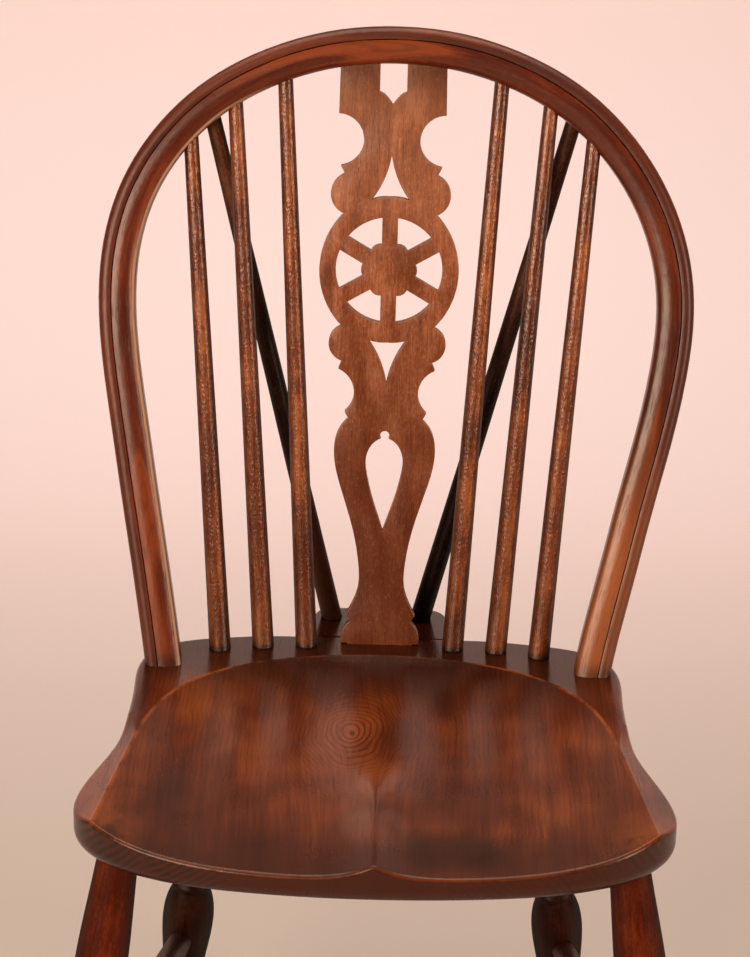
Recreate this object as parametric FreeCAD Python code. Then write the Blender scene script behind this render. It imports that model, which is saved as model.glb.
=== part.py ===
import FreeCAD, Part
import math
import os
from FreeCAD import Vector

# A wheelback chair of turned and bent wood, built in millimetres with +Z up and its front towards -Y.
# All pieces are made about the seat's middle and moved together at the end.

# Driving sizes
seatTop = 440.0
seatThickness = 34.0
seatRear = 204.0
seatTopRounding = 3.0
seatUnderRounding = 13.0
clearance = 0.1
mortiseDepth = 20.0

# Bow: a moulded hoop leaning back
bowFootY = 150.0
bowRake = 14.0
bowDepth = 23.0
bowWidth = 28.5
bowTenonRadius = 9.5
# half of the bow's middle line in its own plane: across, up along the rake
bowLine = [(167.0, -16.0), (169.0, 0.0), (174.5, 33.0), (183.5, 80.0), (193.3, 131.0), (205.1, 191.0),
           (212.9, 238.0), (216.5, 284.0), (212.7, 326.0), (197.7, 371.4), (172.3, 410.6), (137.8, 443.0),
           (90.0, 468.6), (46.0, 481.2), (0.0, 485.1)]
# how far the hand-bent bow leans to the right at each of these points
bowSway = [-0.9, -0.9, -0.1, 1.6, 3.1, 5.5, 6.3, 6.3, 5.2, 3.4, 2.4, 2.2, 2.2, 2.2, 2.2]

# Spindles: foot on the seat (across, back), place on the bow (across, up along the rake)
spindleFootRadius = 8.6
spindleTopRadius = 5.8
spindleTopDepth = 15.0
spindlePlaces = {"outer": ((127.0, 178.0), (154.8, 405.5)),
                 "middle": ((93.0, 185.5), (121.3, 437.4)),
                 "inner": ((58.5, 188.5), (83.2, 456.2))}

# Braces from the bobtail to the back of the bow; their feet stand a little to the left
braceFoot = (36.0, 243.0)
braceFootShift = -3.5
braceTop = (142.5, 438.5)
braceFootRadius = 8.2
braceTopRadius = 6.2
braceTopDepth = 10.0

# Splat
splatThickness = 9.0
splatFootY = 194.5
splatTenonDepth = 12.0
splatTenonHalf = 26.0
splatTongueDepth = 8.0

# Bobtail block at the back of the seat
bobtailEnd = 262.0
bobtailHalfRoot = 61.0
bobtailHalfEnd = 52.0
bobtailThickness = 32.0
tongueThickness = 10.0
tongueHeight = 5.5
tongueHalf = 34.0
tongueDepth = 20.0

# Legs: top centre under the seat and slope outwards per millimetre of drop
legPlaces = {"front": ((183.0, -105.0), (0.149, -0.105)),
             "rear": ((132.0, 122.0), (0.096, 0.222))}
legTopRadius = 14.8
legSocketDepth = 24.0
# distance down the leg from the seat, radius
legTaper = [(0.0, legTopRadius), (45.0, 17.4), (95.0, 19.2), (132.0, 17.4), (162.0, 14.4)]
legRing = [(162.0, 14.4), (166.0, 14.3), (170.5, 17.4), (175.0, 14.3), (178.0, 14.4)]
legVase = [(178.0, 14.4), (187.0, 17.9), (203.0, 20.6), (222.0, 20.5), (255.0, 17.4), (295.0, 14.1),
           (335.0, 12.6)]
legAnkle = [(335.0, 12.6), (339.0, 12.6), (342.5, 14.9), (346.0, 12.6), (349.0, 12.6)]
legFoot = [(349.0, 12.6), (356.0, 14.6), (368.0, 16.4), (385.0, 15.2), (425.0, 11.4)]

# Stretchers
stretcherHeight = 186.0
stretcherEndRadius = 8.8
stretcherMiddleRadius = 14.2
stretcherDepth = 12.0
crossEndRadius = 8.0
crossMiddleRadius = 13.2
crossDepth = 9.0

# Wedges driven into the bow tenons from below
wedgeLength = 20.0
wedgeRoot = 3.2
wedgeTip = 0.6

seatBottom = seatTop - seatThickness
rake = math.radians(bowRake)
bowUp = Vector(0, math.sin(rake), math.cos(rake))
bowFront = Vector(0, -math.cos(rake), math.sin(rake))
bowOrigin = Vector(0, bowFootY, seatTop)


def bowPoint(across, up, forward=0.0):
    return bowOrigin + Vector(across, 0, 0) + bowUp * up + bowFront * forward


def mirrored(shape):
    return shape.mirror(Vector(0, 0, 0), Vector(1, 0, 0))


def spline(points, start=None, end=None):
    curve = Part.BSplineCurve()
    if start is None:
        curve.interpolate(points)
    else:
        curve.interpolate(Points=points, InitialTangent=start, FinalTangent=end)
    return curve


def turned(profile, foot, direction):
    # a solid turned about the line from foot along direction; profile is a list of curves
    edges = []
    for section in profile:
        points = [Vector(radius, 0, along) for along, radius in section]
        if len(points) == 2:
            edges.append(Part.makeLine(points[0], points[1]))
        else:
            edges.append(spline(points).toShape())
    first = profile[0][0]
    last = profile[-1][-1]
    bottom = Part.makeLine(Vector(0, 0, first[0]), Vector(first[1], 0, first[0]))
    top = Part.makeLine(Vector(last[1], 0, last[0]), Vector(0, 0, last[0]))
    axis = Part.makeLine(Vector(0, 0, last[0]), Vector(0, 0, first[0]))
    face = Part.Face(Part.Wire([bottom] + edges + [top, axis]))
    solid = face.revolve(Vector(0, 0, 0), Vector(0, 0, 1), 360)
    solid.Placement = FreeCAD.Placement(foot, FreeCAD.Rotation(Vector(0, 0, 1), direction))
    return solid


def stick(start, end, startRadius, endRadius, startDepth, endDepth):
    # a tapered stick whose ends run on as straight dowels, and the same a little fatter for its sockets
    direction = (end - start).normalize()
    length = (end - start).Length
    shapes = []
    for extra in (0.0, clearance):
        near = startRadius + extra
        far = endRadius + extra
        profile = [[(-startDepth, near), (0.0, near)], [(0.0, near), (length, far)],
                   [(length, far), (length + endDepth, far)]]
        shapes.append(turned(profile, start, direction))
    return shapes


# Bow
def bowSide(sign):
    # one half of the middle line, from its foot to the top
    return [bowPoint(sign * across + sway, up) for (across, up), sway in zip(bowLine, bowSway)]


def bowPath():
    return Part.Wire(spline(bowSide(1) + bowSide(-1)[-2::-1]).toShape())


def bowProfile():
    # outward is the side away from the sitter's back, forward is the moulded face
    half = bowWidth / 2
    front = bowDepth / 2
    start, second = bowSide(1)[:2]
    along = (second - start).normalize()
    outward = along.cross(bowFront).normalize()
    if outward.x < 0:
        outward = outward * -1

    def at(out, forward):
        return start + outward * out + bowFront * forward

    def arc(a, b, c):
        return Part.Arc(at(*a), at(*b), at(*c)).toShape()

    def line(a, b):
        return Part.makeLine(at(*a), at(*b))

    back = 6.0
    beadEnd = half - 9.6
    groove = 0.9
    faceStart = beadEnd - groove
    edges = [line((-half + back, -front), (half - back, -front)),
             arc((half - back, -front), (half - 0.29 * back, -front + 0.29 * back), (half, -front + back)),
             line((half, -front + back), (half, front - 5.9)),
             arc((half, front - 5.9), (half - 2.85, front - 1.3), (beadEnd, front - 0.8)),
             line((beadEnd, front - 0.8), (beadEnd - groove / 2, front - 1.9)),
             line((beadEnd - groove / 2, front - 1.9), (faceStart, front - 0.6)),
             arc((faceStart, front - 0.6), (0.5 * (faceStart - half) + 1.5, front), (-half + 4.8, front - 1.7)),
             arc((-half + 4.8, front - 1.7), (-half + 1.4, front - 4.1), (-half, front - 8.0)),
             line((-half, front - 8.0), (-half, -front + back)),
             arc((-half, -front + back), (-half + 0.29 * back, -front + 0.29 * back), (-half + back, -front))]
    return Part.Wire(edges)


sweep = Part.BRepOffsetAPI.MakePipeShell(bowPath())
sweep.setBiNormalMode(bowFront)
sweep.add(bowProfile(), False, False)
sweep.build()
sweep.makeSolid()
bow = sweep.shape()
bow = bow.cut(Part.makeBox(600, 200, 60, Vector(-300, 50, seatTop - 60)))

bowTenons = []
bowHoles = []
wedges = []
belowSeat = Part.makeBox(600, 400, 60, Vector(-300, 0, seatBottom - 60))
for sign in (1, -1):
    end, foot, above = bowSide(sign)[:3]
    direction = (end - above).normalize()
    start = foot - direction * 4.0
    tenon = Part.makeCylinder(bowTenonRadius, seatThickness + 16.0, start, direction).cut(belowSeat)
    bowHoles.append(Part.makeCylinder(bowTenonRadius + clearance, seatThickness + 20.0, start, direction))
    # the wedge lies along the tenon, thick at the underside
    side = direction.cross(Vector(0, 1, 0)).normalize()
    foot = foot + direction * ((foot.z - seatBottom) / -direction.z)
    corners = [foot + side * (wedgeRoot / 2) + direction * 4, foot - side * (wedgeRoot / 2) + direction * 4,
               foot - side * (wedgeTip / 2) - direction * wedgeLength,
               foot + side * (wedgeTip / 2) - direction * wedgeLength]
    depth = direction.cross(side) * (3 * bowTenonRadius)
    face = Part.Face(Part.makePolygon(corners + corners[:1]))
    face.translate(depth * -0.5)
    wedge = face.extrude(depth).common(tenon)
    wedges.append(wedge)
    bowTenons.append(tenon.cut(wedge))
bow = bow.fuse(bowTenons).removeSplitter()

# Spindles and braces
spindles = {}
seatSockets = []
bowSockets = []
for name, (foot, top) in spindlePlaces.items():
    start = Vector(foot[0], foot[1], seatTop)
    spindle, socket = stick(start, bowPoint(*top), spindleFootRadius, spindleTopRadius,
                            mortiseDepth, spindleTopDepth)
    for side, shape, hole in (("right", spindle, socket), ("left", mirrored(spindle), mirrored(socket))):
        spindles["spindle_" + side + "_" + name] = shape
        seatSockets.append(hole)
        bowSockets.append(hole)

braces = {}
braceSockets = []
for side, sign in (("right", 1), ("left", -1)):
    start = Vector(sign * braceFoot[0] + braceFootShift, braceFoot[1], seatTop)
    end = bowPoint(sign * braceTop[0], braceTop[1], -bowDepth / 2)
    brace, socket = stick(start, end, braceFootRadius, braceTopRadius, mortiseDepth, braceTopDepth)
    braces["brace_" + side] = brace
    braceSockets.append(socket)

# Splat, drawn in its own plane as across and up
splatBase = Vector(0, splatFootY, seatTop)
splatUp = (bowPoint(0, bowLine[-1][1]) - splatBase).normalize()
splatFront = Vector(0, -splatUp.z, splatUp.y)
splatTop = (bowPoint(0, bowLine[-1][1] - bowWidth / 2) - splatBase).Length


def splatPoint(across, up):
    return splatBase + Vector(across, 0, 0) + splatUp * up


def drawn(steps, start):
    # each step is a point for a line, two points for an arc, or "curve" and its points
    edges = []
    here = splatPoint(*start)
    for step in steps:
        if step[0] == "curve":
            points = [here] + [splatPoint(*point) for point in step[1]]
            edges.append(spline(points).toShape())
            here = points[-1]
        elif isinstance(step[0], tuple):
            edges.append(Part.Arc(here, splatPoint(*step[0]), splatPoint(*step[1])).toShape())
            here = splatPoint(*step[1])
        else:
            edges.append(Part.makeLine(here, splatPoint(*step)))
            here = splatPoint(*step)
    return edges


def outline(steps, start):
    # the steps run up the right side from the middle line back to it, and are mirrored to the left
    right = drawn(steps, start)
    left = [mirrored(edge) for edge in reversed(right)]
    return Part.Face(Part.Wire(Part.__sortEdges__(right + left)))


prongTop = splatTop + splatTongueDepth
splatOutline = outline(
    [(splatTenonHalf, -splatTenonDepth), (splatTenonHalf, 0.0), (30.9, 0.0), (31.1, 4.5),
     ("curve", [(30.4, 9.0), (28.0, 13.9), (24.0, 18.3)]),
     (27.5, 23.7),
     ("curve", [(22.3, 33.8), (18.6, 45.0), (18.2, 62.0), (24.0, 95.0), (33.5, 126.0), (39.3, 149.0),
                (39.2, 166.0), (29.1, 183.4)]),
     (32.2, 188.7),
     ((25.3, 206.3), (38.0, 223.2)),
     (35.4, 229.5),
     ((45.9, 244.2), (36.2, 257.4)),
     ((54.4, 302.0), (36.2, 345.8)),
     ((46.6, 361.0), (36.0, 376.8)),
     (39.3, 383.2),
     ((21.8, 404.6), (41.5, 423.4)),
     (40.9, prongTop), (10.4, prongTop), (10.4, 440.6),
     ("curve", [(6.0, 438.2), (2.6, 434.5), (0.0, 430.9)])],
    (0.0, -splatTenonDepth))
upperTriangle = outline([((9.0, 358.8), (14.5, 357.2)), ((4.9, 374.0), (0.0, 391.7))], (0.0, 359.2))
lowerTriangle = outline([((9.0, 245.2), (14.7, 246.5)), ((5.6, 231.0), (0.0, 212.7))], (0.0, 244.9))
teardrop = outline([("curve", [(2.6, 173.0), (3.7, 170.4), (2.9, 168.0)]),
                    ("curve", [(9.5, 163.5), (14.3, 153.0), (13.4, 138.0), (8.4, 118.0), (0.0, 92.9)])],
                   (0.0, 173.9))

wheelUp = 302.0
rimInner = 41.6
hubRadius = 20.8
hubSwell = 1.1
spokeWidth = 12.2


def wheelOpening(turn):
    # between two spokes a sixth of a turn apart
    def at(radius, angle):
        angle = angle + turn
        return splatPoint(radius * math.cos(angle), wheelUp + radius * math.sin(angle))

    sixth = math.pi / 6
    outer = math.asin(spokeWidth / 2 / rimInner)
    inner = math.asin(spokeWidth / 2 / hubRadius)
    edges = [Part.Arc(at(rimInner, outer), at(rimInner, sixth), at(rimInner, 2 * sixth - outer)).toShape(),
             Part.makeLine(at(rimInner, 2 * sixth - outer), at(hubRadius, 2 * sixth - inner)),
             Part.Arc(at(hubRadius, 2 * sixth - inner), at(hubRadius + hubSwell, sixth),
                      at(hubRadius, inner)).toShape(),
             Part.makeLine(at(hubRadius, inner), at(rimInner, outer))]
    return Part.Face(Part.Wire(edges))


openings = [upperTriangle, lowerTriangle, teardrop]
for number in range(6):
    openings.append(wheelOpening(math.pi / 2 + number * math.pi / 3))
splatFace = splatOutline.cut(openings)
splatFace.translate(splatFront * (-splatThickness / 2))
splat = splatFace.extrude(splatFront * splatThickness)
splat = splat.Solids[0]


def splatSocket(left, right, low, high, slack):
    corners = [splatPoint(left - slack, low), splatPoint(right + slack, low),
               splatPoint(right + slack, high), splatPoint(left - slack, high)]
    thickness = splatThickness + 2 * slack
    face = Part.Face(Part.makePolygon(corners + corners[:1]))
    face.translate(splatFront * (-thickness / 2))
    return face.extrude(splatFront * thickness)


splatSeatSocket = splatSocket(-splatTenonHalf, splatTenonHalf, -splatTenonDepth, 10.0, clearance)
for left, right in ((10.4, 40.9), (-40.9, -10.4)):
    bowSockets.append(splatSocket(left, right, splatTop - 14.0, prongTop, clearance))

bow = bow.cut(bowSockets + braceSockets)

# Seat
seatHalf = [(0.0, -171.0), (82.0, -166.5), (150.0, -152.5), (196.0, -126.0), (214.5, -98.0), (217.0, -72.0),
            (206.5, -27.0), (195.5, 8.0), (190.5, 50.0), (189.5, 105.0), (189.0, 143.0), (179.0, 172.0),
            (155.0, 190.0), (113.0, 200.0), (bobtailHalfRoot, seatRear)]


def seatSide():
    points = [Vector(x, y, seatBottom) for x, y in seatHalf]
    return spline(points, Vector(1, 0, 0), Vector(-1, 0, 0)).toShape()


seatWall = seatSide().extrude(Vector(0, 0, seatThickness))
seatWall = Part.Compound([seatWall, mirrored(seatWall)])


def seatBlank():
    right = seatSide()
    back = Part.makeLine(Vector(bobtailHalfRoot, seatRear, seatBottom),
                         Vector(-bobtailHalfRoot, seatRear, seatBottom))
    wire = Part.Wire(Part.__sortEdges__([right, back, mirrored(right)]))
    return Part.Face(wire).extrude(Vector(0, 0, seatThickness))


# how far the saddled hollow sinks below the seat's top; negative outside its rim
hollowDepth = 12.0
pommelHeight = 11.0


def hollow(x, y):
    back = (y + 100.0) / 270.0
    half = 199.0 - 37.0 * back
    rim = (x / half) ** 2 + min(max(back, 0.0), 1.2) ** 6 - 1.0
    if rim < 0:
        depth = hollowDepth * (1 - (1 + rim) ** 1.8)
    else:
        depth = -hollowDepth * 1.8 * rim
    front = min(max((20.0 - y) / 150.0, 0.0), 1.0)
    front = front * front * (3 - 2 * front)
    ridge = math.exp((3.0 - math.hypot(x, 3.0)) / 19.0)
    return depth + front * (1.5 * math.exp(-(x / 120.0) ** 2) - pommelHeight * ridge)


def surfaceTool(height, xs, ys):
    grid = [[Vector(x, y, height(x, y)) for y in ys] for x in xs]
    surface = Part.BSplineSurface()
    surface.interpolate(grid)
    return surface.toShape().extrude(Vector(0, 0, 120))


def spaced(low, high, count):
    return [low + (high - low) * number / (count - 1) for number in range(count)]


columns = spaced(-260, -20, 18) + spaced(-15, 15, 13) + spaced(20, 260, 18)
hollowTool = surfaceTool(lambda x, y: seatTop - hollow(x, y), columns, spaced(-200, 190, 31))

# outside the hollow the sides fall away towards the outline, less and less towards the back
bevelSlope = 0.34


def bevelStart(y):
    back = min(max((y - 10.0) / 130.0, 0.0), 1.0)
    return 198.0 - 0.137 * (y + 100.0) + 38.0 * back * back * (3 - 2 * back)


bevelTool = surfaceTool(lambda x, y: seatTop - bevelSlope * (x - bevelStart(y)), spaced(150, 260, 4),
                        spaced(-200, 200, 21))

seat = seatBlank()
lowEdges = [edge for edge in seat.Edges
            if edge.BoundBox.ZMax < seatBottom + 1 and edge.BoundBox.YMin < seatRear - 1]
seat = seat.makeFillet(seatUnderRounding, lowEdges)
seat = seat.cut([hollowTool, bevelTool, mirrored(bevelTool)])
rimEdges = []
for edge in seat.Edges:
    middle = Part.Vertex(edge.valueAt((edge.FirstParameter + edge.LastParameter) / 2))
    high = edge.BoundBox.ZMin > seatTop - 20
    if high and edge.BoundBox.YMin < seatRear - 1 and middle.distToShape(seatWall)[0] < 0.01:
        rimEdges.append(edge)
seat = seat.makeFillet(seatTopRounding, rimEdges)

# Bobtail block
def bobtailShape():
    z = seatTop - bobtailThickness
    root = Vector(bobtailHalfRoot - 1.0, seatRear, z)
    bend = Vector(bobtailHalfEnd + 1.5, bobtailEnd - 18.0, z)
    corner = Vector(bobtailHalfEnd - 3.0, bobtailEnd - 4.6, z)
    end = Vector(bobtailHalfEnd - 14.0, bobtailEnd, z)
    side = [spline([root, Vector(bobtailHalfEnd + 3.5, seatRear + 20.0, z), bend]).toShape(),
            Part.Arc(bend, corner, end).toShape(),
            Part.makeLine(end, Vector(0, bobtailEnd, z))]
    edges = side + [mirrored(edge) for edge in side]
    edges.append(Part.makeLine(root, Vector(-root.x, root.y, z)))
    block = Part.Face(Part.Wire(Part.__sortEdges__(edges))).extrude(Vector(0, 0, bobtailThickness))
    outer = [edge for edge in block.Edges
             if edge.BoundBox.ZLength < 0.1 and edge.BoundBox.YMax > seatRear + 1]
    return block.makeFillet(2.5, outer)


def tongueBox(slack):
    half = tongueHalf + slack
    corner = Vector(-half, seatRear - tongueDepth, seatBottom + tongueHeight - slack)
    return Part.makeBox(2 * half, 2 * tongueDepth, tongueThickness + 2 * slack, corner)


bobtail = bobtailShape().fuse(tongueBox(0.0)).removeSplitter()
bobtail = bobtail.cut(braceSockets)

# Legs and stretchers
legSockets = []
legs = {}
legLines = {}
for name, (top, slope) in legPlaces.items():
    start = Vector(top[0], top[1], seatBottom)
    direction = Vector(slope[0], slope[1], -1).normalize()
    legLines[name] = (start, direction)
    dowel = [(-legSocketDepth, legTopRadius), (0.0, legTopRadius)]
    leg = turned([dowel, legTaper, legRing, legVase, legAnkle, legFoot], start, direction)
    legs[name] = leg.cut(Part.makeBox(900, 900, 80, Vector(-450, -450, -80)))
    socketRadius = legTopRadius + clearance
    socket = turned([[(-legSocketDepth, socketRadius), (12.0, socketRadius)]], start, direction)
    legSockets += [socket, mirrored(socket)]


def legAt(name, height):
    start, direction = legLines[name]
    return start + direction * ((start.z - height) / -direction.z)


def stretcher(start, end, endRadius, middleRadius, depth, slack=0.0):
    length = (end - start).Length
    near = endRadius + slack
    if slack:
        return turned([[(-depth, near), (length + depth, near)]], start, (end - start).normalize())
    belly = [(0.0, near), (length * 0.22, (near + middleRadius) * 0.5), (length * 0.5, middleRadius),
             (length * 0.78, (near + middleRadius) * 0.5), (length, near)]
    return turned([[(-depth, near), (0.0, near)], belly, [(length, near), (length + depth, near)]],
                  start, (end - start).normalize())


frontEnd = legAt("front", stretcherHeight)
rearEnd = legAt("rear", stretcherHeight)
along = (rearEnd - frontEnd).normalize()
frontEnd = frontEnd + along * 8.0
rearEnd = rearEnd - along * 8.0
sideSizes = (frontEnd, rearEnd, stretcherEndRadius, stretcherMiddleRadius, stretcherDepth)
sideStretcher = stretcher(*sideSizes)
sideSocket = stretcher(*sideSizes, clearance)
middle = (frontEnd + rearEnd) * 0.5
crossStart = Vector(-(middle.x - 4.0), middle.y, middle.z)
crossEnd = Vector(middle.x - 4.0, middle.y, middle.z)
crossSizes = (crossStart, crossEnd, crossEndRadius, crossMiddleRadius, crossDepth)
crossStretcher = stretcher(*crossSizes)
crossSocket = stretcher(*crossSizes, clearance)
for name in legs:
    legs[name] = legs[name].cut(sideSocket)
sideStretcher = sideStretcher.cut(crossSocket)

seat = seat.cut(seatSockets + bowHoles + legSockets + [splatSeatSocket, tongueBox(clearance)])

# All pieces, moved so that the chair stands on z = 0 about the middle of its own box
nodes = {"seat": seat, "bobtail_block": bobtail, "bow": bow, "splat": splat,
         "side_stretcher_right": sideStretcher, "side_stretcher_left": mirrored(sideStretcher),
         "cross_stretcher": crossStretcher,
         "bow_wedge_right": wedges[0], "bow_wedge_left": wedges[1]}
nodes.update(spindles)
nodes.update(braces)
for name, leg in legs.items():
    nodes["leg_" + name + "_right"] = leg
    nodes["leg_" + name + "_left"] = mirrored(leg)

box = FreeCAD.BoundBox()
for shape in nodes.values():
    box.add(shape.optimalBoundingBox(True, False))
shift = Vector(-(box.XMin + box.XMax) / 2, -(box.YMin + box.YMax) / 2, -box.ZMin)
os.makedirs("parts", exist_ok=True)
for name, shape in nodes.items():
    moved = shape.copy()
    moved.translate(shift)
    moved.exportStep("parts/" + name + ".step")
    print(name, len(moved.Solids), moved.isValid(), round(moved.Volume))
print("shift", shift, "size", box.XLength, box.YLength, box.ZLength)
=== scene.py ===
import math
import bpy
import bmesh
from mathutils import Matrix, Vector


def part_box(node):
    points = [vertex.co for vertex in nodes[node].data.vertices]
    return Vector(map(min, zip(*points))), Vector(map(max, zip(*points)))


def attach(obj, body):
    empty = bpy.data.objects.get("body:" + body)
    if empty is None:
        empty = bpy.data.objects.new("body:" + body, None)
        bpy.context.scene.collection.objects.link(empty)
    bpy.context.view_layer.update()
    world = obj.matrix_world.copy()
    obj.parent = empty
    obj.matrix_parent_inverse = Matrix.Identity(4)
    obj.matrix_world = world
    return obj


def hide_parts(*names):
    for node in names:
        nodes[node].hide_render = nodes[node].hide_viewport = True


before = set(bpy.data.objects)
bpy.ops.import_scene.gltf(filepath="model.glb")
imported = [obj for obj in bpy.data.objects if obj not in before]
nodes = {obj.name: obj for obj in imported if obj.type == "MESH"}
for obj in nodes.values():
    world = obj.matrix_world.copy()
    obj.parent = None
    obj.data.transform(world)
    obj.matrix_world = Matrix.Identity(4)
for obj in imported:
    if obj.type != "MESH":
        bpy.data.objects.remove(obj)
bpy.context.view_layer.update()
print("frame loaded:", len(nodes), "nodes")


# Helpers for objects and meshes
def addObject(name, data):
    made = bpy.data.objects.new(name, data)
    bpy.context.scene.collection.objects.link(made)
    return made


def mergedCopy(node, name):
    # a copy of a node's mesh as a new object, and an open bmesh of it with its loose triangles merged
    piece = addObject(name, nodes[node].data.copy())
    work = bmesh.new()
    work.from_mesh(piece.data)
    bmesh.ops.remove_doubles(work, verts=work.verts, dist=1e-6)
    return piece, work


def sharpEdges(work, degrees):
    return [edge for edge in work.edges
            if len(edge.link_faces) == 2 and edge.calc_face_angle() > math.radians(degrees)]


def smoothMesh(piece, work, degrees):
    # shades the mesh smooth, except at edges that turn by more than an angle
    for edge in sharpEdges(work, degrees):
        edge.smooth = False
    for face in work.faces:
        face.smooth = True
    work.to_mesh(piece.data)
    work.free()


def giveMaterial(piece, material):
    piece.data.materials.clear()
    piece.data.materials.append(material)


# Helpers for shader trees
def colour(red, green, blue):
    # written as it looks, and turned to linear here
    return tuple((value / 255) ** 2.2 for value in (red, green, blue)) + (1.0,)


def newMaterial(name):
    material = bpy.data.materials.new(name)
    material.use_nodes = True
    return material, material.node_tree


def fillInputs(tree, node, inputs):
    # another node's output is linked, and a plain value is set
    for name, value in inputs.items():
        if isinstance(value, bpy.types.NodeSocket):
            tree.links.new(value, node.inputs[name])
        else:
            node.inputs[name].default_value = value


def addNode(tree, kind, inputs, **settings):
    made = tree.nodes.new(kind)
    for name, value in settings.items():
        setattr(made, name, value)
    fillInputs(tree, made, inputs)
    return made


def calc(tree, operation, *values):
    return addNode(tree, "ShaderNodeMath", dict(enumerate(values)), operation=operation).outputs[0]


def times(tree, first, second):
    return calc(tree, "MULTIPLY", first, second)


def plus(tree, start, pattern, share):
    return calc(tree, "MULTIPLY_ADD", pattern, share, start)


def squareOf(tree, value):
    return times(tree, value, value)


def inverse(tree, value):
    return calc(tree, "SUBTRACT", 1.0, value)


def above(tree, value, low, high):
    # 0 up to low, 1 from high on, smooth between
    inputs = {"Value": value, "From Min": low, "From Max": high, "To Min": 0.0, "To Max": 1.0}
    return addNode(tree, "ShaderNodeMapRange", inputs, interpolation_type="SMOOTHSTEP").outputs[0]


def below(tree, value, low, high):
    # 1 up to low, 0 from high on
    return inverse(tree, above(tree, value, low, high))


def linesOf(tree, value, spacing, low, high):
    # soft lines at even steps of a value
    return above(tree, calc(tree, "SINE", times(tree, value, math.tau / spacing)), low, high)


def coordinates(tree, kind):
    return addNode(tree, "ShaderNodeTexCoord", {}).outputs[kind]


def split(tree, vector):
    return addNode(tree, "ShaderNodeSeparateXYZ", {0: vector}).outputs


def noises(tree, space, settings):
    # each noise is given as its steps per metre on three axes, detail, roughness and distortion
    made = {}
    for name, (factors, detail, roughness, distortion) in settings.items():
        stretched = addNode(tree, "ShaderNodeVectorMath", {0: space, 1: factors}, operation="MULTIPLY")
        inputs = {"Vector": stretched.outputs[0], "Scale": 1.0, "Detail": detail,
                  "Roughness": roughness, "Distortion": distortion}
        made[name] = addNode(tree, "ShaderNodeTexNoise", inputs).outputs[0]
    return made


def blend(tree, parts, shares, start=0.0):
    # adds named parts to a starting value, each times its share
    total = start
    for name, share in shares.items():
        total = plus(tree, total, parts[name], share)
    return total


def mixTones(tree, factor, first, second):
    return addNode(tree, "ShaderNodeMix", {0: factor, 6: first, 7: second}, data_type="RGBA").outputs[2]


def toneAndLayers(tree, value, parts, look, layers):
    # dark, middle and light wood by the value, then layers over it, among them painted shade and painted
    # highlights: part, tone and share
    node = addNode(tree, "ShaderNodeValToRGB", {0: value})
    node.color_ramp.elements.new(0.5)
    for element, tone in zip(node.color_ramp.elements, ("dark", "middle", "light")):
        element.color = look[tone]
    base = node.outputs[0]
    for part, tone, share in layers:
        base = mixTones(tree, times(tree, parts[part], share), base, look[tone])
    return base


varnish = {"tint": (1.0, 0.75, 0.56, 1.0), "bumpDepth": 0.001}


def surface(material, tree, base, parts, finish):
    # parts add to the finish's least roughness, and make its relief
    roughness = blend(tree, parts, finish["rougher"], finish["roughness"])
    height = blend(tree, parts, finish["relief"])
    relief = {"Strength": finish["bump"], "Distance": varnish["bumpDepth"], "Height": height}
    bump = addNode(tree, "ShaderNodeBump", relief).outputs[0]
    fillInputs(tree, tree.nodes["Principled BSDF"], {
        "Base Color": base, "Roughness": roughness, "Normal": bump,
        "Specular IOR Level": finish["specular"], "Specular Tint": varnish["tint"],
        "Coat Weight": finish["coat"], "Coat Roughness": finish["coatRoughness"]})
    return material


# Turned and sawn pieces: fibres, specks and mottling, where a noise's third axis runs along the piece.
# Crown, head and glossy are heights in metres, and the other ranges are limits of a noise or a facing.
turned = {
    "noises": {"fibre": ((1100.0, 1100.0, 45.0), 2.0, 0.6, 0.0),
               "speck": ((650.0, 650.0, 330.0), 2.0, 0.7, 0.0),
               "blotch": ((42.0, 42.0, 17.0), 3.0, 0.6, 0.0),
               "pore": ((1400.0, 1400.0, 90.0), 1.0, 0.5, 0.0),
               "dimple": ((640.0, 640.0, 420.0), 2.0, 0.5, 0.0)},
    "shares": {"streak": 0.22, "fibre": 0.18, "speck": 0.20, "blotch": 0.40},
    "front": (0.30, 0.98), "arrisStart": (0.35, 0.60), "arrisEnd": (0.90, 0.96),
    "crown": (0.72, 0.83), "head": (0.860, 0.905), "glossy": (0.60, 0.78),
    "footBlotch": 0.12, "headSpeck": 0.02,
    "pore": (0.58, 0.70), "scuffAndSheen": (0.60, 0.74), "rim": (0.35, 0.80),
    "patternStep": (0.37, 0.23, 0.61), "endShare": 0.08,
    # the layers in the order they are laid on, each with its tone: some are painted shade and painted
    # highlights, the rest darker colour, pores and scuffs
    "layers": [("side", "side"), ("foot", "foot"), ("crown", "scuffAndSheen"), ("head", "side"),
               ("arris", "scuffAndSheen"), ("toe", "toe"), ("pore", "side"), ("scuffAndSheen", "scuffAndSheen")]}

satin = {"roughness": 0.19, "rougher": {"blotch": 0.16, "pore": 0.12, "glossy": -0.10, "rim": 0.42},
         "bump": 1.0, "relief": {"fibre": 0.06, "dimple": 0.42, "pore": -0.08},
         "specular": 0.68, "coat": 0.06, "coatRoughness": 0.16}
dull = {"roughness": 0.32, "rougher": {"blotch": 0.16, "pore": 0.12, "rim": 0.30},
        "bump": 0.6, "relief": {"fibre": 0.06, "dimple": 0.16, "pore": -0.08},
        "specular": 0.14, "coat": 0.02, "coatRoughness": 0.20}
sawn = {"roughness": 0.32, "rougher": {"blotch": 0.16, "pore": 0.12},
        "bump": 0.7, "relief": {"fibre": 0.06, "dimple": 0.16, "pore": -0.08},
        "specular": 0.30, "coat": 0.03, "coatRoughness": 0.20}

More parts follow.
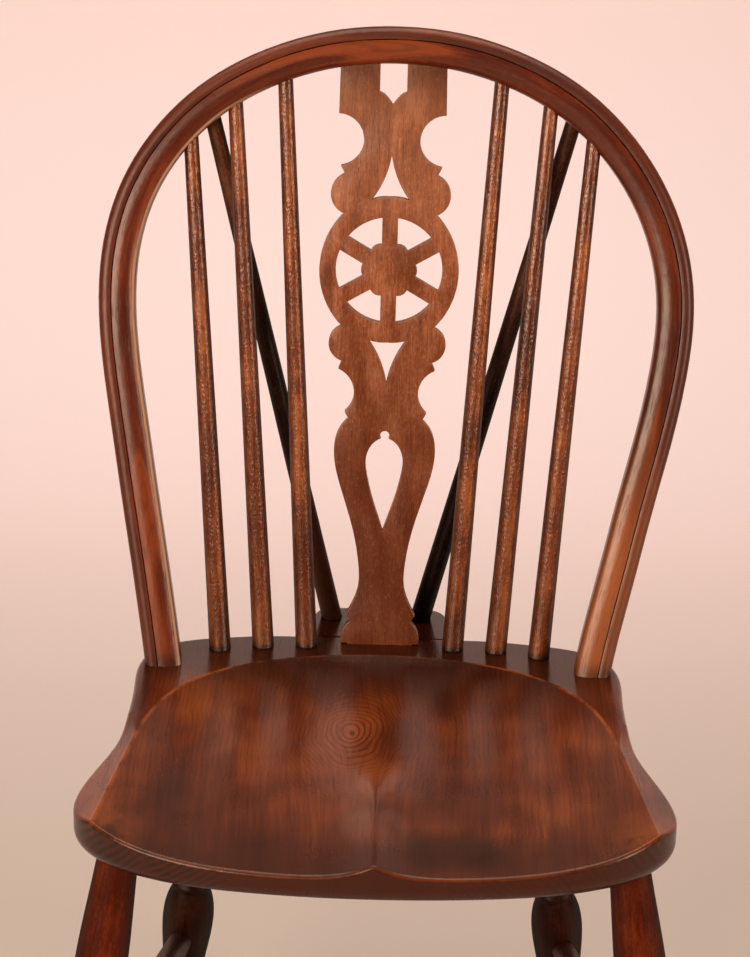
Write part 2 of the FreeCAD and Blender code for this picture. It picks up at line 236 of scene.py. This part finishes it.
spindle = {"finish": satin, "streak": ((200.0, 200.0, 11.0), 3.0, 0.6, 0.4), "calm": 0.12,
           "dark": colour(76, 31, 13), "middle": colour(128, 57, 23), "light": colour(178, 94, 44),
           "side": colour(40, 17, 9), "foot": colour(76, 31, 13), "scuffAndSheen": colour(214, 146, 92),
           "toe": colour(24, 12, 8), "footRange": (0.42, 0.75), "toeRange": (0.440, 0.447),
           "sideShade": 0.90, "footShade": 0.56, "crownShade": 0.0, "headShade": 0.3,
           "arrisShade": 0.0, "toeShade": 0.8, "poreShade": 0.34, "scuffAndSheenShade": 0.18}
# the braces are darker below their tops, partly their own dark colour and partly painted shade behind the
# spindles
brace = dict(spindle, finish=dull,
             dark=colour(52, 26, 17), middle=colour(92, 49, 32), light=colour(124, 72, 48),
             side=colour(22, 12, 9), foot=colour(22, 12, 9), footRange=(0.66, 0.92), footShade=0.92,
             scuffAndSheenShade=0.10)
# the left brace is paler low down, out of the painted shade
leftBrace = dict(brace, toe=colour(86, 48, 29), toeRange=(0.50, 0.60), toeShade=0.75)
# the legs are dark, partly their own colour and partly painted shade under the seat; the rear legs are a
# darker copy, painted deeper shade
leg = dict(spindle, finish=dull, calm=0.17,
           dark=colour(58, 18, 7), middle=colour(90, 31, 10), light=colour(120, 48, 18),
           side=colour(34, 11, 6), foot=colour(50, 18, 8), scuffAndSheen=colour(130, 62, 28),
           footRange=(0.0, 0.12), sideShade=0.70, footShade=0.3, toeShade=0.0, scuffAndSheenShade=0.12)
rearLegInShade = dict(leg, dark=colour(24, 10, 6), middle=colour(42, 18, 10), light=colour(62, 28, 15),
               side=colour(20, 8, 5), scuffAndSheen=colour(80, 42, 24))
stretcher = dict(leg, finish=satin,
                 dark=colour(32, 14, 8), middle=colour(56, 26, 15), light=colour(82, 42, 25),
                 side=colour(24, 11, 7), sideShade=0.40)
wedge = dict(spindle, finish=dull,
             dark=colour(90, 50, 28), middle=colour(120, 72, 42), light=colour(140, 92, 58),
             side=colour(80, 44, 26), footShade=0.0, sideShade=0.0, toeShade=0.0)
woods = {"spindle": spindle, "brace_left": leftBrace, "brace_right": brace,
         "leg_front": leg, "leg_rear": rearLegInShade, "side_stretcher": stretcher,
         "cross_stretcher": stretcher, "bow_wedge": wedge}


def grainSpace(tree, along, centre, seed):
    # turns the pattern so that its Z runs along the piece, and moves it on for each piece
    turn = Vector(along).rotation_difference(Vector((0, 0, 1)))
    place = Vector([step * seed for step in turned["patternStep"]]) - turn @ Vector(centre)
    inputs = {"Vector": coordinates(tree, "Object"), "Location": place, "Rotation": turn.to_euler()}
    return addNode(tree, "ShaderNodeMapping", inputs, vector_type="POINT").outputs[0]


def frontFacing(tree, low, high):
    # 1 on faces that look to the front
    back = split(tree, coordinates(tree, "Normal"))[1]
    return above(tree, times(tree, back, -1.0), low, high)


def pieceWood(name, look, along, centre, seed):
    material, tree = newMaterial(name)
    space = grainSpace(tree, along, centre, seed)
    parts = noises(tree, space, dict(turned["noises"], streak=look["streak"]))
    mixed = above(tree, blend(tree, parts, turned["shares"]), 0.5 - look["calm"], 0.5 + look["calm"])
    z = split(tree, coordinates(tree, "Object"))[2]
    front = frontFacing(tree, *turned["front"])
    arrisEnd = frontFacing(tree, *turned["arrisEnd"])
    rim = addNode(tree, "ShaderNodeLayerWeight", {"Blend": 0.5}).outputs["Facing"]
    # dark sides, a painted shade at the edges; darker towards the foot, a painted shade on the braces and
    # the splat; a painted shadow under the bow at the head; a dark ring at the toe, and dark pores
    parts["side"] = inverse(tree, front)
    parts["foot"] = below(tree, plus(tree, z, parts["blotch"], turned["footBlotch"]), *look["footRange"])
    parts["head"] = above(tree, plus(tree, z, parts["speck"], turned["headSpeck"]), *turned["head"])
    parts["toe"] = below(tree, z, *look["toeRange"])
    parts["pore"] = above(tree, parts["pore"], *turned["pore"])
    # painted highlights: a pale crown high on the front and pale eased edges; and pale scuffs on the front
    parts["crown"] = times(tree, above(tree, z, *turned["crown"]), front)
    parts["arris"] = times(tree, frontFacing(tree, *turned["arrisStart"]), inverse(tree, arrisEnd))
    parts["scuffAndSheen"] = times(tree, above(tree, parts["speck"], *turned["scuffAndSheen"]), front)
    # where the polish differs
    parts["glossy"] = above(tree, z, *turned["glossy"])
    parts["rim"] = above(tree, rim, *turned["rim"])
    layers = [(part, tone, look[part + "Shade"]) for part, tone in turned["layers"]]
    base = toneAndLayers(tree, mixed, parts, look, layers)
    return surface(material, tree, base, parts, look["finish"])


def axisOf(node):
    # the line through the middles of a turned piece's two end slices
    points = [v.co for v in nodes[node].data.vertices]
    size = [max(p[i] for p in points) - min(p[i] for p in points) for i in range(3)]
    long = size.index(max(size))
    low = min(p[long] for p in points)
    high = max(p[long] for p in points)
    reach = (high - low) * turned["endShare"]
    ends = []
    for test in (lambda p: p[long] < low + reach, lambda p: p[long] > high - reach):
        near = [p for p in points if test(p)]
        ends.append(Vector([(max(p[i] for p in near) + min(p[i] for p in near)) / 2 for i in range(3)]))
    return (ends[1] - ends[0]).normalized(), (ends[0] + ends[1]) / 2


for number, node in enumerate(sorted(nodes)):
    for start, look in woods.items():
        if node.startswith(start):
            along, centre = axisOf(node)
            giveMaterial(nodes[node], pieceWood(node + "Wood", look, along, centre, number))
print("turned pieces finished")

# Splat: the same solid with its sawn edges eased, so that they catch the light. Angles are in degrees.
# the splat's pale crown and pale eased edges are painted highlights, its dark head a painted shadow under
# the bow, and its darker foot painted shade
splat = dict(spindle, finish=sawn, streak=((110.0, 110.0, 7.0), 3.0, 0.6, 0.4), calm=0.15,
             dark=colour(104, 50, 28), middle=colour(150, 80, 48), light=colour(188, 112, 74),
             side=colour(66, 30, 17), foot=colour(90, 38, 17), scuffAndSheen=colour(204, 142, 106),
             footRange=(0.52, 0.86), sideShade=0.30, footShade=0.78, crownShade=0.16, headShade=0.6,
             arrisShade=0.6, toeShade=0.0, poreShade=0.40, scuffAndSheenShade=0.15,
             along=(0, 0.162, 0.987), seed=31, ease=0.0005, flatAngle=0.5, arrisAngle=50, smoothAngle=30)


def makeSplat():
    piece, work = mergedCopy("splat", "sawnSplat")
    bmesh.ops.dissolve_limit(work, angle_limit=math.radians(splat["flatAngle"]), verts=work.verts,
                             edges=work.edges)
    bmesh.ops.bevel(work, geom=sharpEdges(work, splat["arrisAngle"]), offset=splat["ease"],
                    affect="EDGES", segments=2, profile=0.5, material=-1)
    smoothMesh(piece, work, splat["smoothAngle"])
    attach(piece, "root")
    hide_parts("splat")
    return piece


board = makeSplat()
splatCentre = (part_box("splat")[0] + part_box("splat")[1]) / 2
giveMaterial(board, pieceWood("splatWood", splat, splat["along"], splatCentre, splat["seed"]))
print("splat finished")

# Seat: lines that run from front to back round one knot, end grain in arcs, and wear on its ridges.
# Places and sizes are in metres, and y is counted from the shift.
seat = {
    "dark": colour(56, 23, 12), "middle": colour(96, 42, 21), "light": colour(140, 68, 32),
    "worn": colour(168, 84, 38), "edge": colour(120, 54, 22), "pore": colour(38, 15, 8),
    "ring": colour(48, 20, 12), "stripe": colour(28, 10, 5), "face": colour(64, 21, 6),
    "rear": colour(40, 16, 9), "dirt": colour(18, 9, 7), "heart": colour(62, 29, 18),
    "pale": colour(170, 112, 84),
    "finish": {"roughness": 0.12, "rougher": {"wobble": 0.16, "softFront": 0.09, "pore": 0.08},
               "bump": 0.25, "relief": {"fibre": 0.06, "wobble": 0.7},
               "specular": 0.42, "coat": 0.08, "coatRoughness": 0.12},
    "shift": -0.05485, "top": 0.44,
    # noises that follow the grain, noises that don't, and how they make the wood's tone
    "grain": {"fibre": ((900.0, 12.0, 120.0), 2.0, 0.6, 0.0),
              "streak": ((110.0, 5.0, 25.0), 4.0, 0.6, 0.3),
              "pore": ((1300.0, 45.0, 140.0), 1.0, 0.5, 0.0)},
    "clouds": {"cloud": ((15.0, 10.0, 15.0), 2.0, 0.5, 0.0),
               "waver": ((38.0, 30.0, 38.0), 0.0, 0.5, 0.0),
               "wear": ((34.0, 34.0, 34.0), 3.0, 0.6, 0.0),
               "wobble": ((26.0, 18.0, 26.0), 2.0, 0.5, 0.0)},
    "shares": {"streak": 0.26, "fibre": 0.16, "cloud": 0.58, "knot": 0.13}, "tones": (0.31, 0.74),
    "poreLimits": (0.58, 0.72),
    # growth lines: round the knot, past it, and on the front face
    "knot": {"place": (-0.0187, 0.053), "squash": 0.52, "parting": 0.00060, "fade": -26.0,
             "core": (0.0004, 0.0034)},
    "rings": {"power": 1.25, "waver": 0.0048, "step": 0.00175, "limits": (0.0, 1.0),
              "streaks": (0.30, 0.62)},
    "runs": {"waver": 0.010, "step": 0.0042, "limits": (0.2, 1.0)},
    "arcs": {"heart": (-0.030, 0.275), "waver": 0.007, "step": 0.0048, "limits": (-0.7, 0.9),
             "least": 0.18, "left": (-0.15, -0.08), "leftShare": 0.75,
             "right": (0.08, 0.17), "rightShare": 0.40, "facing": (0.2, 0.5)},
    # the crease: half the hollow's width, how it narrows to the back, and the places where it fades
    "crease": {"front": 0.1, "depth": 0.27, "half": 0.199, "narrowing": -0.037, "power": 6.0,
               "level": 0.99, "width": 0.030, "heights": (0.427, 0.432),
               "backY": (0.05, 0.13), "backX": (0.03, 0.13), "backFade": 0.8,
               "cornerX": (0.12, 0.17), "cornerY": (-0.06, 0.03), "cornerFade": 0.7},
    # darkening at the back, painted shade at the front, a painted dark reflection and a painted pale
    # reflection, dirt, and worn corners and arrises
    "rearY": (0.10, 0.19), "rearCloud": 0.05, "frontY": (-0.12, -0.05), "frontCloud": 0.06,
    "darkReflection": {"place": (0.062, -0.128), "size": (0.058, 0.036)},
    "paleSheen": {"place": (-0.008, -0.080), "size": (0.020, 0.052), "side": (-0.005, 0.0)},
    "patchCloud": 0.8, "patchEdge": (0.5, 1.7), "dirtReach": (0.0085, 0.0135), "dirtSlice": 0.022,
    "wornLimits": (0.34, 0.60),
    "cornerX": (0.150, 0.205), "cornerY": (-0.125, -0.055), "cornerTop": (0.6, 0.9),
    "arrisStart": (0.15, 0.35), "arrisEnd": (0.72, 0.84), "upright": (0.25, 0.60),
    "softFront": (-0.08, 0.03),
    "layers": [("rings", "ring", 0.85), ("runs", "ring", 0.20), ("core", "heart", 0.7),
               ("rear", "rear", 0.82), ("front", "dark", 0.65), ("darkReflection", "pore", 0.80),
               ("paleSheen", "pale", 0.20), ("corner", "worn", 0.50), ("crease", "worn", 0.62),
               ("face", "face", 0.80), ("arris", "edge", 0.60), ("arcs", "stripe", 1.0),
               ("dirt", "dirt", 0.85), ("pore", "pore", 0.30)]}


def knotPattern(tree, x, y, knot):
    # how far a point is from the knot, a map whose lines part round it, and how near the knot is
    acrossKnot = calc(tree, "SUBTRACT", x, knot["place"][0])
    alongKnot = times(tree, calc(tree, "SUBTRACT", y, knot["place"][1]), knot["squash"])
    square = calc(tree, "ADD", squareOf(tree, acrossKnot), squareOf(tree, alongKnot))
    reach = calc(tree, "SQRT", square)
    parted = calc(tree, "DIVIDE", knot["parting"], calc(tree, "ADD", square, knot["parting"]))
    flow = times(tree, acrossKnot, inverse(tree, parted))
    return reach, flow, calc(tree, "POWER", math.e, times(tree, reach, knot["fade"]))


def creaseOf(tree, x, y, z, crease):
    # how near a point is to the crease round the hollow, which fades at the back and at the right front
    back = calc(tree, "DIVIDE", calc(tree, "ADD", y, crease["front"]), crease["depth"])
    half = plus(tree, crease["half"], back, crease["narrowing"])
    rim = squareOf(tree, calc(tree, "DIVIDE", x, half))
    rim = calc(tree, "ADD", rim, calc(tree, "POWER", calc(tree, "MAXIMUM", back, 0.0), crease["power"]))
    offset = calc(tree, "ABSOLUTE", calc(tree, "SUBTRACT", rim, crease["level"]))
    line = times(tree, below(tree, offset, 0.0, crease["width"]), above(tree, z, *crease["heights"]))
    middle = times(tree, above(tree, y, *crease["backY"]),
                   below(tree, calc(tree, "ABSOLUTE", x), *crease["backX"]))
    corner = times(tree, above(tree, x, *crease["cornerX"]), below(tree, y, *crease["cornerY"]))
    faded = plus(tree, times(tree, middle, crease["backFade"]), corner, crease["cornerFade"])
    return times(tree, line, inverse(tree, faded))


def patchOf(tree, x, y, cloud, look, name):
    # an uneven round place on the top
    offsets = [squareOf(tree, calc(tree, "DIVIDE", calc(tree, "SUBTRACT", value, place), size))
               for value, place, size in zip((x, y), look[name]["place"], look[name]["size"])]
    offset = plus(tree, calc(tree, "ADD", *offsets), cloud, look["patchCloud"])
    return below(tree, offset, *look["patchEdge"])


def endArcs(tree, x, z, toBack, waver, arcs):
    # arcs of end grain on the front face, clearest at its two ends
    offsets = [squareOf(tree, calc(tree, "SUBTRACT", value, place))
               for value, place in zip((x, z), arcs["heart"])]
    reach = plus(tree, calc(tree, "SQRT", calc(tree, "ADD", *offsets)), waver, arcs["waver"])
    ends = plus(tree, times(tree, below(tree, x, *arcs["left"]), arcs["leftShare"]),
                above(tree, x, *arcs["right"]), arcs["rightShare"])
    ends = times(tree, calc(tree, "ADD", ends, arcs["least"]),
                 above(tree, times(tree, toBack, -1.0), *arcs["facing"]))
    return times(tree, linesOf(tree, reach, arcs["step"], *arcs["limits"]), ends)


def footDirt(tree, position):
    # dirt gathers where the pieces of the back stand in the seat
    nearest = 1.0
    for node in sorted(nodes):
        if node.startswith(("spindle", "brace")):
            points = [v.co for v in nodes[node].data.vertices
                      if abs(v.co.z - seat["top"]) < seat["dirtSlice"]]
            place = Vector([sum(p[i] for p in points) / len(points) for i in range(2)] + [seat["top"]])
            offset = addNode(tree, "ShaderNodeVectorMath", {0: position, 1: place}, operation="DISTANCE")
            nearest = calc(tree, "MINIMUM", offset.outputs["Value"], nearest)
    return below(tree, nearest, *seat["dirtReach"])


def seatWood(name, look):
    material, tree = newMaterial(name)
    position = coordinates(tree, "Object")
    x, y, z = split(tree, position)
    y = calc(tree, "SUBTRACT", y, look["shift"])
    toBack, toTop = split(tree, coordinates(tree, "Normal"))[1:]
    reach, flow, nearKnot = knotPattern(tree, x, y, look["knot"])
    flowing = addNode(tree, "ShaderNodeCombineXYZ", {0: flow, 1: y, 2: z}).outputs[0]
    parts = noises(tree, flowing, look["grain"])
    parts.update(noises(tree, position, look["clouds"]), knot=nearKnot)
    mixed = above(tree, blend(tree, parts, look["shares"]), *look["tones"])
    cloud, waver = parts["cloud"], parts["waver"]
    worn = above(tree, parts["wear"], *look["wornLimits"])
    # growth lines: rings about the knot, and faint ones that run past it
    rings = plus(tree, calc(tree, "POWER", reach, look["rings"]["power"]), waver, look["rings"]["waver"])
    rings = linesOf(tree, rings, look["rings"]["step"], *look["rings"]["limits"])
    clear = times(tree, nearKnot, above(tree, parts["streak"], *look["rings"]["streaks"]))
    parts["rings"] = times(tree, rings, clear)
    runs = plus(tree, flow, waver, look["runs"]["waver"])
    runs = linesOf(tree, runs, look["runs"]["step"], *look["runs"]["limits"])
    parts["runs"] = times(tree, runs, inverse(tree, nearKnot))
    parts["core"] = below(tree, reach, *look["knot"]["core"])
    # the top is darker towards the back, and darker at the front as a painted shade; by the ridge lie a
    # painted dark reflection and a painted pale reflection
    parts["rear"] = above(tree, plus(tree, y, cloud, look["rearCloud"]), *look["rearY"])
    parts["front"] = below(tree, plus(tree, y, cloud, look["frontCloud"]), *look["frontY"])
    parts["darkReflection"] = patchOf(tree, x, y, cloud, look, "darkReflection")
    paleSheen = patchOf(tree, x, y, cloud, look, "paleSheen")
    parts["paleSheen"] = times(tree, paleSheen, below(tree, x, *look["paleSheen"]["side"]))
    # worn crease, corners and arrises
    corner = above(tree, calc(tree, "ABSOLUTE", x), *look["cornerX"])
    corner = times(tree, corner, below(tree, y, *look["cornerY"]))
    parts["corner"] = times(tree, times(tree, corner, worn), above(tree, toTop, *look["cornerTop"]))
    parts["crease"] = times(tree, creaseOf(tree, x, y, z, look["crease"]), worn)
    arris = times(tree, above(tree, toTop, *look["arrisStart"]), below(tree, toTop, *look["arrisEnd"]))
    parts["arris"] = times(tree, arris, worn)
    # faces that stand upright, with arcs of end grain in the front one
    parts["face"] = below(tree, toTop, *look["upright"])
    arcs = endArcs(tree, x, z, toBack, waver, look["arcs"])
    parts["arcs"] = times(tree, arcs, times(tree, parts["face"], worn))
    parts["dirt"] = footDirt(tree, position)
    parts["pore"] = above(tree, parts["pore"], *look["poreLimits"])
    parts["softFront"] = below(tree, y, *look["softFront"])
    base = toneAndLayers(tree, mixed, parts, look, look["layers"])
    return surface(material, tree, base, parts, look["finish"])


seatMaterial = seatWood("seatWood", seat)
giveMaterial(nodes["seat"], seatMaterial)
giveMaterial(nodes["bobtail_block"], seatMaterial)
print("seat finished")

# Bow: the same solid, with a map of where each point lies along its bend so that the grain follows it.
# The bend is in millimetres, its right half from foot to top, and the sway moves both halves to the right.
bow = {
    "dark": colour(66, 22, 8), "middle": colour(102, 36, 12), "light": colour(138, 58, 23),
    "bead": colour(74, 24, 9), "side": colour(72, 30, 16), "groove": colour(26, 12, 9),
    "line": colour(60, 23, 12), "pore": colour(52, 22, 12), "low": colour(200, 112, 62),
    "toe": colour(30, 14, 9), "paleSheen": colour(240, 176, 132),
    "finish": {"roughness": 0.26, "rougher": {"wobble": 0.10, "pore": 0.12, "bead": 0.09},
               "bump": 0.7, "relief": {"fibre": 0.03, "wobble": 0.20, "dimple": 0.07, "pore": -0.04},
               "specular": 0.62, "coat": 0.06, "coatRoughness": 0.24},
    "noises": {"streak": ((150.0, 150.0, 8.0), 3.0, 0.55, 0.4),
               "fibre": ((1000.0, 1000.0, 30.0), 2.0, 0.6, 0.0),
               "speck": ((600.0, 600.0, 260.0), 2.0, 0.7, 0.0),
               "cloud": ((34.0, 34.0, 9.0), 2.0, 0.5, 0.3),
               "figure": ((46.0, 46.0, 5.0), 1.0, 0.4, 0.5),
               "waver": ((60.0, 60.0, 60.0), 2.0, 0.5, 0.0),
               "pore": ((1500.0, 1500.0, 70.0), 1.0, 0.5, 0.0),
               "wobble": ((130.0, 130.0, 60.0), 2.0, 0.5, 0.0),
               "dimple": ((480.0, 480.0, 240.0), 1.0, 0.5, 0.0)},
    "shares": {"streak": 0.20, "fibre": 0.14, "speck": 0.12, "cloud": 0.26, "flame": 0.10,
               "figure": 0.10},
    "tones": (0.29, 0.55), "poreLimits": (0.58, 0.70),
    "flame": (0.50, 0.56), "flameStep": 0.075, "flameLimits": (0.50, 1.0),
    "rightX": (0.10, 0.15), "leftX": (-0.15, -0.08), "lowZ": (0.50, 0.66), "toeZ": (0.440, 0.456),
    # the moulding: distances outward from the middle line, and forward from it
    "grooveAt": 0.0042, "grooveShift": 0.0004, "grooveWander": 0.0008, "grooveEdge": (0.0002, 0.0007),
    "grooveClear": (0.25, 0.50), "faceFrom": 0.0075, "soft": 0.001, "inner": (-0.0142, -0.0105),
    "sideTo": (0.0005, 0.0075), "sheenStart": (-0.0140, -0.0130), "sheenEnd": (-0.0122, -0.0112),
    "layers": [("flames", "line", 0.26), ("low", "low", 0.52), ("toe", "toe", 0.6),
               ("bead", "bead", 0.50), ("inner", "side", 0.55), ("paleSheen", "paleSheen", 0.75),
               ("side", "side", 0.75), ("groove", "groove", 0.92), ("pore", "pore", 0.40)],
    "footY": 0.150, "seatTop": 0.440, "rake": 14.0, "smoothAngle": 32, "lineSteps": 12,
    "bend": [(167.0, -16.0), (169.0, 0.0), (174.5, 33.0), (183.5, 80.0), (193.3, 131.0),
             (205.1, 191.0), (212.9, 238.0), (216.5, 284.0), (212.7, 326.0), (197.7, 371.4),
             (172.3, 410.6), (137.8, 443.0), (90.0, 468.6), (46.0, 481.2), (0.0, 485.1)],
    "sway": [-0.9, -0.9, -0.1, 1.6, 3.1, 5.5, 6.3, 6.3, 5.2, 3.4, 2.4, 2.2, 2.2, 2.2, 2.2]}


def bowLine():
    # the bow's middle line in its own plane, in metres, at even small steps
    sides = []
    for sign in (1, -1):
        sides.append([Vector((sign * x + sway, y)) / 1000
                      for (x, y), sway in zip(bow["bend"], bow["sway"])])
    knots = sides[0] + sides[1][-2::-1]
    line = []
    for i in range(len(knots) - 1):
        a, b = knots[max(i - 1, 0)], knots[i]
        c, d = knots[i + 1], knots[min(i + 2, len(knots) - 1)]
        for step in range(bow["lineSteps"]):
            t = step / bow["lineSteps"]
            line.append(0.5 * ((2 * b) + (c - a) * t + (2 * a - 5 * b + 4 * c - d) * t * t
                               + (3 * b - a - 3 * c + d) * t ** 3))
    return line + [knots[-1]]


def makeBow():
    piece, work = mergedCopy("bow", "bentBow")
    smoothMesh(piece, work, bow["smoothAngle"])
    line = bowLine()
    lengths = [0.0]
    for first, second in zip(line, line[1:]):
        lengths.append(lengths[-1] + (second - first).length)
    rake = math.radians(bow["rake"])
    up = Vector((0, math.sin(rake), math.cos(rake)))
    forward = Vector((0, -math.cos(rake), math.sin(rake)))
    origin = Vector((0, bow["footY"] + seat["shift"], bow["seatTop"]))
    values = []
    for vertex in piece.data.vertices:
        local = vertex.co - origin
        flat = Vector((local.x, local.dot(up)))
        nearest = min(range(1, len(line) - 1), key=lambda i: (line[i] - flat).length_squared)
        tangent = (line[nearest + 1] - line[nearest - 1]).normalized()
        gap = flat - line[nearest]
        outward = gap.x * tangent.y - gap.y * tangent.x
        values += [outward, local.dot(forward), lengths[nearest] + gap.dot(tangent)]
    piece.data.attributes.new("bend", "FLOAT_VECTOR", "POINT")
    piece.data.attributes["bend"].data.foreach_set("vector", values)
    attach(piece, "root")
    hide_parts("bow")
    return piece


def bowWood(name, look):
    material, tree = newMaterial(name)
    space = addNode(tree, "ShaderNodeAttribute", {}, attribute_name="bend").outputs["Vector"]
    outward, forward = split(tree, space)[:2]
    position = split(tree, coordinates(tree, "Object"))
    x, z = position[0], position[2]
    parts = noises(tree, space, look["noises"])
    parts["flame"] = above(tree, parts["figure"], *look["flame"])
    mixed = above(tree, blend(tree, parts, look["shares"]), *look["tones"])
    # long flames outlined by dark growth lines
    parts["flames"] = linesOf(tree, parts["figure"], look["flameStep"], *look["flameLimits"])
    # the right arm is paler towards its foot, partly paler wood and partly a painted highlight, and both
    # arms are dark where they meet the seat
    parts["low"] = times(tree, above(tree, x, *look["rightX"]), below(tree, z, *look["lowZ"]))
    parts["toe"] = below(tree, z, *look["toeZ"])
    # the moulding: a darker bead, a darker inner edge, sides painted darker as painted shade, a painted
    # highlight line along the left arm's inner edge, and the groove
    parts["bead"] = above(tree, outward, look["grooveAt"], look["grooveAt"] + look["soft"])
    parts["inner"] = below(tree, outward, *look["inner"])
    parts["side"] = below(tree, forward, *look["sideTo"])
    paleSheen = times(tree, above(tree, outward, *look["sheenStart"]), below(tree, outward, *look["sheenEnd"]))
    parts["paleSheen"] = times(tree, paleSheen, below(tree, x, *look["leftX"]))
    onFace = above(tree, forward, look["faceFrom"], look["faceFrom"] + look["soft"])
    wander = plus(tree, outward, parts["waver"], look["grooveWander"])
    offset = calc(tree, "SUBTRACT", wander, look["grooveAt"] + look["grooveShift"])
    groove = below(tree, calc(tree, "ABSOLUTE", offset), *look["grooveEdge"])
    groove = times(tree, groove, onFace)
    parts["groove"] = times(tree, groove, above(tree, parts["waver"], *look["grooveClear"]))
    parts["pore"] = above(tree, parts["pore"], *look["poreLimits"])
    base = toneAndLayers(tree, mixed, parts, look, look["layers"])
    return surface(material, tree, base, parts, look["finish"])


giveMaterial(makeBow(), bowWood("bowWood", bow))
print("bow finished")

# Stage: a pale floor that curves up into a wall, painted darker near its top as a painted fall-off of the
# light
stage = {"floor": colour(204, 184, 168), "wall": colour(250, 225, 219), "upper": colour(150, 130, 118),
         "wallFrom": (0.5, 1.8), "upperShadeFrom": (1.15, 1.60), "roughness": 0.9,
         "wallY": 1.9, "bend": 0.6, "steps": 12, "half": 6.0, "front": -5.0, "height": 5.0}


def stageMesh():
    work = bmesh.new()
    profile = [(stage["front"], 0.0), (stage["wallY"] - stage["bend"], 0.0)]
    for step in range(1, stage["steps"] + 1):
        angle = math.pi / 2 * step / stage["steps"]
        profile.append((stage["wallY"] - stage["bend"] + stage["bend"] * math.sin(angle),
                        stage["bend"] - stage["bend"] * math.cos(angle)))
    profile.append((stage["wallY"], stage["height"]))
    line = [work.verts.new((-stage["half"], y, z)) for y, z in profile]
    edges = [work.edges.new(pair) for pair in zip(line, line[1:])]
    swept = bmesh.ops.extrude_edge_only(work, edges=edges)["geom"]
    moved = [item for item in swept if isinstance(item, bmesh.types.BMVert)]
    bmesh.ops.translate(work, verts=moved, vec=(2 * stage["half"], 0, 0))
    for face in work.faces:
        face.smooth = True
    work.faces.ensure_lookup_table()
    if work.faces[0].normal.z < 0:
        bmesh.ops.reverse_faces(work, faces=work.faces)
    mesh = bpy.data.meshes.new("floor")
    work.to_mesh(mesh)
    work.free()
    return mesh


def stagePaint():
    material, tree = newMaterial("floorPaint")
    y, z = split(tree, coordinates(tree, "Object"))[1:]
    paint = mixTones(tree, above(tree, y, *stage["wallFrom"]), stage["floor"], stage["wall"])
    paint = mixTones(tree, above(tree, z, *stage["upperShadeFrom"]), paint, stage["upper"])
    shader = tree.nodes["Principled BSDF"]
    fillInputs(tree, shader, {"Base Color": paint, "Roughness": stage["roughness"]})
    # seen from behind the backdrop is clear, so that it doesn't hide the chair's back
    behind = addNode(tree, "ShaderNodeNewGeometry", {}).outputs["Backfacing"]
    clear = addNode(tree, "ShaderNodeBsdfTransparent", {}).outputs[0]
    both = addNode(tree, "ShaderNodeMixShader", {0: behind, 1: shader.outputs[0], 2: clear}).outputs[0]
    fillInputs(tree, tree.nodes["Material Output"], {"Surface": both})
    return material


floor = addObject("floor", stageMesh())
giveMaterial(floor, stagePaint())
print("stage finished")

# Light: soft boxes and an even world
lampTint = (1.0, 0.94, 0.89)
lamps = {"left": {"place": (-1.50, -2.00, 1.24), "size": (1.7, 0.85), "power": 47.0, "aim": (0, 0.1, 0.6)},
         "right": {"place": (2.1, -1.3, 1.05), "size": (0.5, 1.2), "power": 19.0, "aim": (0, 0.1, 0.6)},
         "top": {"place": (0.0, 0.0, 3.2), "size": (2.6, 2.0), "power": 46.0, "aim": (0, 0.1, 0.55)},
         "wall": {"place": (0.0, 0.5, 2.4), "size": (3.2, 0.5), "power": 14.0, "aim": (0, 1.9, 0.5)}}
skyLight = {"Color": (1.0, 0.95, 0.91, 1.0), "Strength": 0.14}
for name, lamp in lamps.items():
    data = bpy.data.lights.new(name + "Lamp", "AREA")
    data.shape = "RECTANGLE"
    data.size, data.size_y = lamp["size"]
    data.energy = lamp["power"]
    data.color = lampTint
    light = addObject(name + "Lamp", data)
    light.location = lamp["place"]
    light.rotation_euler = (Vector(lamp["aim"]) - light.location).to_track_quat("-Z", "Y").to_euler()
world = bpy.data.worlds.new("studio")
bpy.context.scene.world = world
world.use_nodes = True
fillInputs(world.node_tree, world.node_tree.nodes["Background"], skyLight)
print("lamps finished")

# Camera: the photograph's view, with the focal length in pixels of its 750 by 957 frame
view = {"place": (0.0, -2.0949, 1.470), "down": 21.69, "aside": -0.175, "tilt": 1.40, "focal": 3062.0,
        "frameHeight": 957, "sensor": 36.0, "clip": (0.05, 40.0)}


def makeCamera():
    down, aside, tilt = [math.radians(view[turn]) for turn in ("down", "aside", "tilt")]
    forward = Vector((math.sin(aside) * math.cos(down), math.cos(aside) * math.cos(down), -math.sin(down)))
    level = Vector((math.cos(aside), -math.sin(aside), 0))
    up = level.cross(forward)
    right = level * math.cos(tilt) + up * math.sin(tilt)
    up = up * math.cos(tilt) - level * math.sin(tilt)
    data = bpy.data.cameras.new("camera")
    data.sensor_width = view["sensor"]
    data.lens = view["focal"] * view["sensor"] / view["frameHeight"]
    data.clip_start, data.clip_end = view["clip"]
    camera = addObject("camera", data)
    turn = Matrix((right, up, -forward)).transposed().to_4x4()
    camera.matrix_world = Matrix.Translation(view["place"]) @ turn
    bpy.context.scene.camera = camera


makeCamera()
bpy.context.scene.view_settings.view_transform = "Standard"

print("scene ready")
